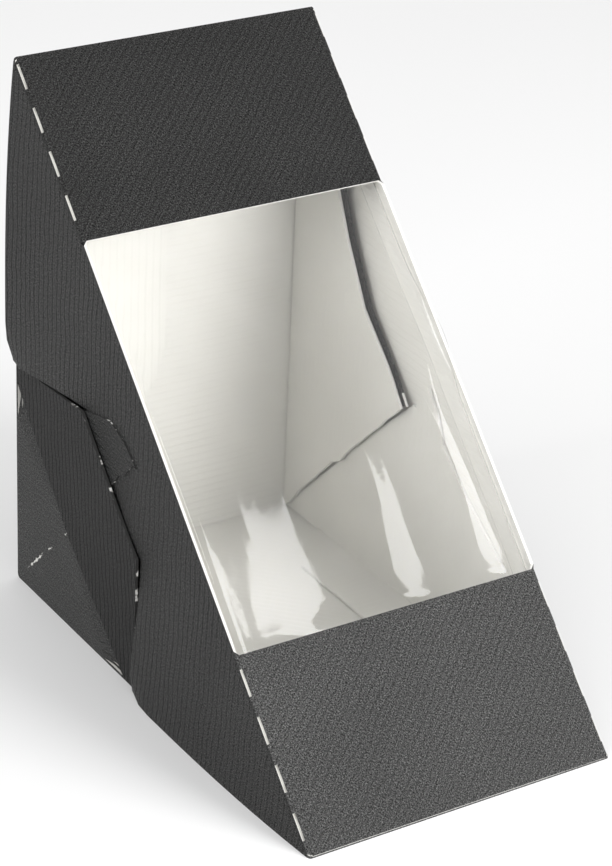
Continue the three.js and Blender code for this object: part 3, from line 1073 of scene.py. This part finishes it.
class BuildCard(bpy.types.Operator):
    """Folds the black card blank with its straps, webs, tabs and inner flaps"""

    bl_idname = "wedge.build_card"
    bl_label = "Build card"

    def execute(self, context):
        settings = context.scene.wedge_card
        group = flute_group()
        pieces = loop_pieces() + side_pieces(-1) + side_pieces(1)
        card = join("folded_card", pieces)
        edit_whole(bpy.ops.mesh.remove_doubles, threshold=0.01 * MM)
        fold_and_cut(card)
        black, white, bare = tuple(settings.black), tuple(settings.white), tuple(settings.edge)
        card.data.materials.clear()
        for material in (
                black_card_material(group, black, settings.pitch),
                paper_material("White inside", group, white, 0.25, settings.pitch),
                paper_material("Bare cut edge", group, bare, 0.1, settings.pitch),
                inked_edge_material(black, bare)):
            card.data.materials.append(material)
        thicken(card)
        finish_piece(card, "root", ["carton"])
        return {"FINISHED"}


class BuildFilm(bpy.types.Operator):
    """Lays the clear film in the window, with its bow and long creases"""

    bl_idname = "wedge.build_film"
    bl_label = "Build window film"

    def execute(self, context):
        film = build_film()
        film.data.materials.clear()
        film.data.materials.append(film_material())
        finish_piece(film, "root", ["window_film"], angle=60)
        return {"FINISHED"}


class BuildStage(bpy.types.Operator):
    """Sets the floor, the room light, the lamps and the camera"""

    bl_idname = "wedge.build_stage"
    bl_label = "Build stage"

    def execute(self, context):
        stage = context.scene.wedge_stage
        bpy.ops.object.select_all(action="DESELECT")
        bpy.ops.mesh.primitive_plane_add(size=6)
        floor = context.object
        floor.name = "floor"
        floor.data.materials.append(self.floor_material(tuple(stage.floor)))
        self.room_light(context.scene, stage.ambient)
        place_lamps(stage.key)
        place_camera(context.scene)
        context.scene.view_settings.view_transform = "Standard"
        return {"FINISHED"}

    def floor_material(self, colour):
        material, tree, shader = shader_nodes("Pale floor")
        cloud = noise_node(tree, own_place(tree), 3)
        tone = ramp(tree, cloud, [(0.3, scaled(colour, 0.99)), (0.7, colour)])
        tree.links.new(tone, shader.inputs["Base Color"])
        shader.inputs["Roughness"].default_value = 0.9
        shader.inputs["Specular IOR Level"].default_value = 0.1
        return material

    def room_light(self, scene, strength):
        world = bpy.data.worlds.new("room")
        world.use_nodes = True
        scene.world = world
        tree = world.node_tree
        back = tree.nodes["Background"]
        back.inputs["Color"].default_value = (1, 1, 1, 1)
        rays = add(tree, "ShaderNodeLightPath")
        seen = rays.outputs["Is Camera Ray"]
        level = math_node(tree, "MULTIPLY_ADD", seen, 1 - strength, strength)
        tree.links.new(level, back.inputs["Strength"])


class WedgePanel(bpy.types.Panel):
    """Lists the steps that build the pack"""

    bl_idname = "VIEW3D_PT_wedge_pack"
    bl_label = "Wedge Pack"
    bl_space_type = "VIEW_3D"
    bl_region_type = "UI"
    bl_category = "Wedge Pack"

    def draw(self, context):
        layout = self.layout
        scene = context.scene
        for group in (scene.wedge_card, scene.wedge_film, scene.wedge_stage):
            for name in group.__annotations__:
                layout.prop(group, name)
        for step in (BuildCard, BuildFilm, BuildStage):
            layout.operator(step.bl_idname)


CLASSES = (WedgeCard, WedgeFilm, WedgeStage, BuildCard, BuildFilm, BuildStage, WedgePanel)


def register():
    for item in CLASSES:
        bpy.utils.register_class(item)
    bpy.types.Scene.wedge_card = PointerProperty(type=WedgeCard)
    bpy.types.Scene.wedge_film = PointerProperty(type=WedgeFilm)
    bpy.types.Scene.wedge_stage = PointerProperty(type=WedgeStage)


def unregister():
    for name in ("wedge_card", "wedge_film", "wedge_stage"):
        delattr(bpy.types.Scene, name)
    for item in reversed(CLASSES):
        bpy.utils.unregister_class(item)


def main():
    register()
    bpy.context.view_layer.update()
    bpy.ops.wedge.build_card()
    bpy.ops.wedge.build_film()
    bpy.ops.wedge.build_stage()


if __name__ == "__main__":
    main()
